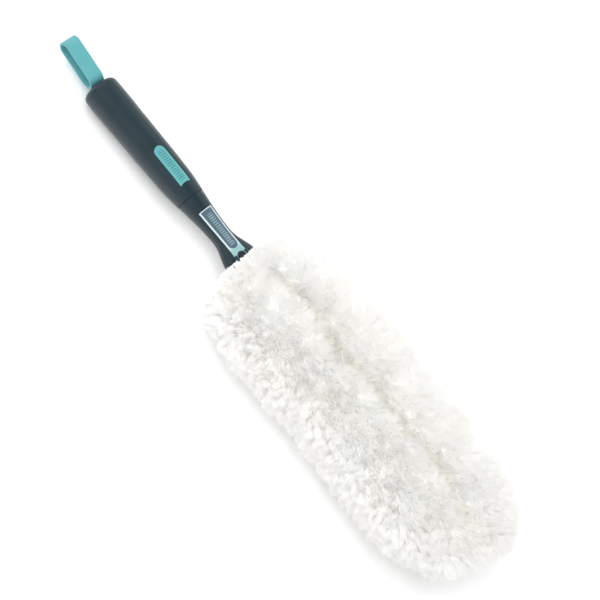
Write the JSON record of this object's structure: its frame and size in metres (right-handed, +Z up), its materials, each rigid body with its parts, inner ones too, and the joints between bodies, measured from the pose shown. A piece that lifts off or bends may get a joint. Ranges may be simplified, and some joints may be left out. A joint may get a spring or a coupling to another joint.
{
  "type": "hand duster",
  "caption": "Hand-held fluffy duster: a removable two-lobed microfibre sleeve on a flat springy paddle, with a waisted neck and a soft-touch grip that ends in a hanging strap.",
  "frame": {"origin": "under the middle of the object's box, on the surface it lies on", "axes": "+X from the hanging strap to the tip of the head, +Y across the width, +Z up, toward the front (badge) side"},
  "size_m": [0.5894, 0.1361, 0.0886],
  "materials": {
    "grip_rubber": "soft-touch matt",
    "core_plastic": "moulded",
    "teal_rubber": "satin",
    "neck_plastic": "fine matt",
    "strip_plastic": "satin",
    "plaque_plastic": "satin",
    "steel": "drawn",
    "frame_plastic": "moulded",
    "backing_fabric": "knitted",
    "pile_fabric": "fluffy pile"
  },
  "bodies": {
    "handle": {"inner_tube": "core_plastic", "soft_grip": "grip_rubber", "grip_inlay": "teal_rubber", "end_plug": "core_plastic", "loop_pin": "steel", "neck_socket": "neck_plastic", "neck_inlay": "strip_plastic", "neck_plaque": "plaque_plastic", "head_frame": "frame_plastic", "button_spring": "steel"},
    "strap": {"hang_loop": "teal_rubber"},
    "button": {"release_button": "core_plastic"},
    "sleeve": {"sleeve_backing": "backing_fabric", "elastic_cuff": "backing_fabric", "seam_left": "backing_fabric", "seam_right": "backing_fabric", "pile_front_left": "pile_fabric", "pile_front_right": "pile_fabric", "pile_back": "pile_fabric"}
  },
  "joints": [
    {"name": "strap_tilt", "type": "hinge", "parent": "handle", "child": "strap", "pos_m": [-0.24297, 0, 0.01664], "axis": [0, 1, 0], "range_deg": [-45, 13]},
    {"name": "button_press", "type": "slide", "parent": "handle", "child": "button", "axis": [0.0698, 0, -0.9976], "range_m": [0, 0.003], "stiffness_N_per_m": 400, "springref_m": -0.0006, "deforming": ["button_spring"]},
    {"name": "sleeve_pull", "type": "slide", "parent": "handle", "child": "sleeve", "axis": [0.9976, 0, 0.0698], "range_m": [0, 0.34]}
  ]
}
